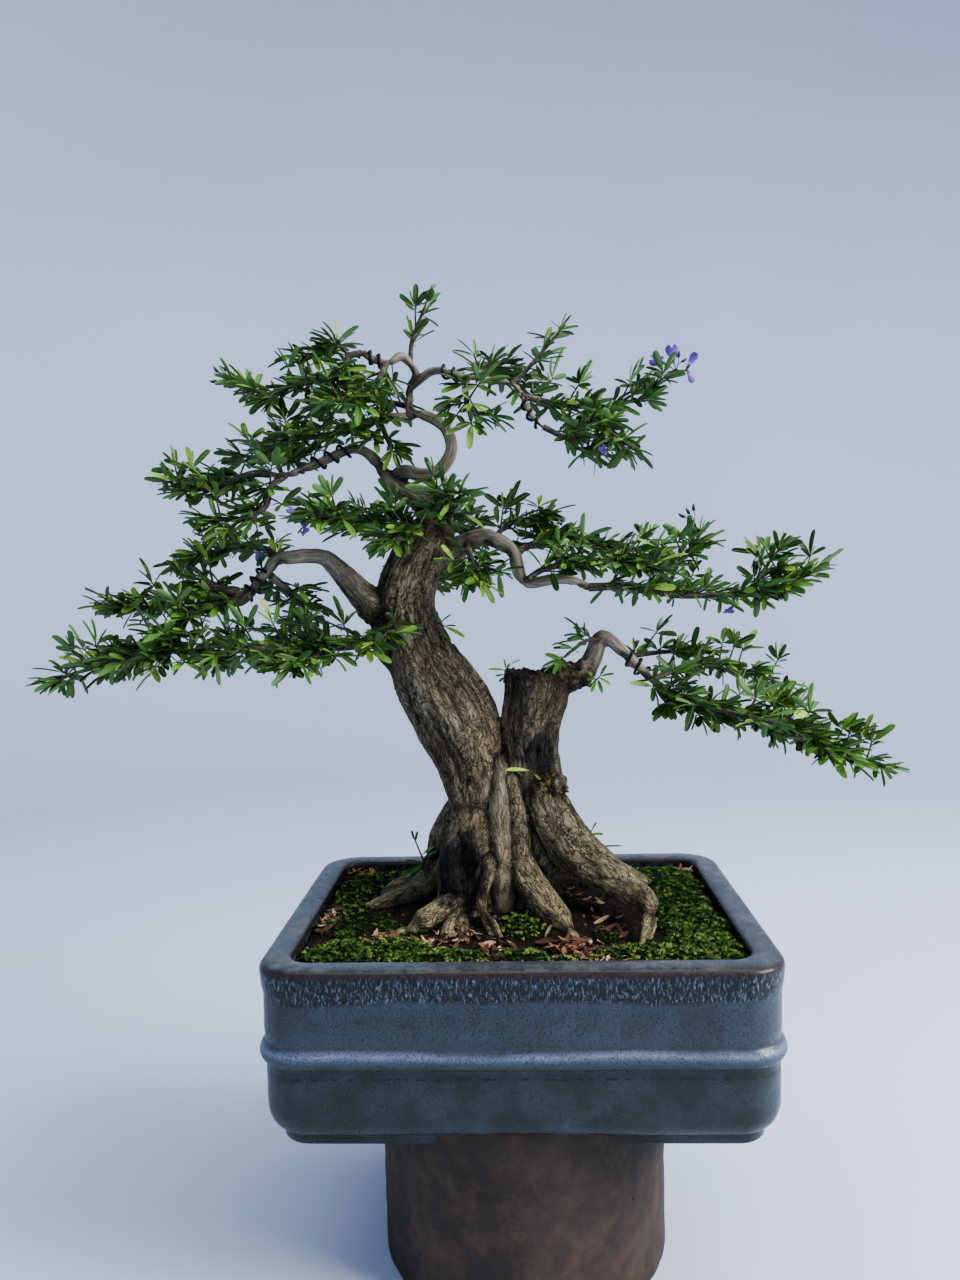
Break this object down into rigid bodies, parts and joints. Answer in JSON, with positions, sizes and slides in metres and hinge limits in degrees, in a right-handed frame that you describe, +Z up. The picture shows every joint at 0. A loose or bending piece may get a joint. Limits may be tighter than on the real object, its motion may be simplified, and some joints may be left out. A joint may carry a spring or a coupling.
{
  "type": "desmodium bonsai",
  "caption": "Leaning bonsai tree with a cut second trunk, flat pads of small leaves, training wire and flowers, in a glazed rectangular pot on a round column.",
  "frame": {"origin": "centre of the column's flat underside, which the object stands on", "axes": "+Z up, +X to the right and -Y towards the viewer, as the tree is seen in the picture"},
  "size_m": [0.7271, 0.3132, 0.8491],
  "materials": {
    "column": "matte",
    "glaze": "gloss",
    "soil": "matte",
    "net": "matte",
    "bark": "matte",
    "leaf": "satin",
    "petal": "matte",
    "wire": "satin",
    "moss": "matte"
  },
  "bodies": {
    "root": {"pot": "glaze", "drain_net_left": "net", "drain_net_right": "net", "soil": "soil", "moss_front_right": "moss", "moss_front_left": "moss", "moss_right": "moss", "moss_back_left": "moss", "wood": "bark", "wire_shoulder": "wire", "wire_left_arch": "wire", "wire_apex_left": "wire", "wire_right_rise": "wire", "wire_right_fall": "wire", "wire_lower_right": "wire", "leaves_low_left_upper": "leaf", "leaves_low_left_tip": "leaf", "leaves_low_left_back": "leaf", "leaves_low_left_front": "leaf", "leaves_low_left_top": "leaf", "leaves_arch_tip": "leaf", "leaves_arch_drop": "leaf", "leaves_arch_back": "leaf", "leaves_middle_left": "leaf", "leaves_middle_left_back": "leaf", "leaves_upper_left": "leaf", "leaves_upper_left_back": "leaf", "leaves_apex_front": "leaf", "leaves_apex_far_left": "leaf", "leaves_apex_rise": "leaf", "leaves_right_top_front": "leaf", "leaves_right_top_back": "leaf", "leaves_right_rise": "leaf", "leaves_right_upper": "leaf", "leaves_right_drop": "leaf", "leaves_middle_right_tip": "leaf", "leaves_middle_right_back": "leaf", "leaves_middle_right_front": "leaf", "leaves_middle_right_rise": "leaf", "leaves_middle_right_low": "leaf", "leaves_top_front": "leaf", "leaves_top_front_left": "leaf", "leaves_top_back": "leaf", "leaves_low_right_tip": "leaf", "leaves_low_right_upper": "leaf", "leaves_low_right_front": "leaf", "leaves_low_right_back": "leaf", "leaves_stump_sprig": "leaf", "leaves_shoulder_sprig": "leaf", "leaves_back_branch": "leaf", "leaves_flank_sprig": "leaf", "leaves_trunk_sprig": "leaf", "leaves_base_sprout_left": "leaf", "leaves_base_sprout_right": "leaf", "flower_left": "petal", "flower_top": "petal", "flower_right": "petal", "flower_hanging": "petal", "column": "column"}
  },
  "joints": []
}
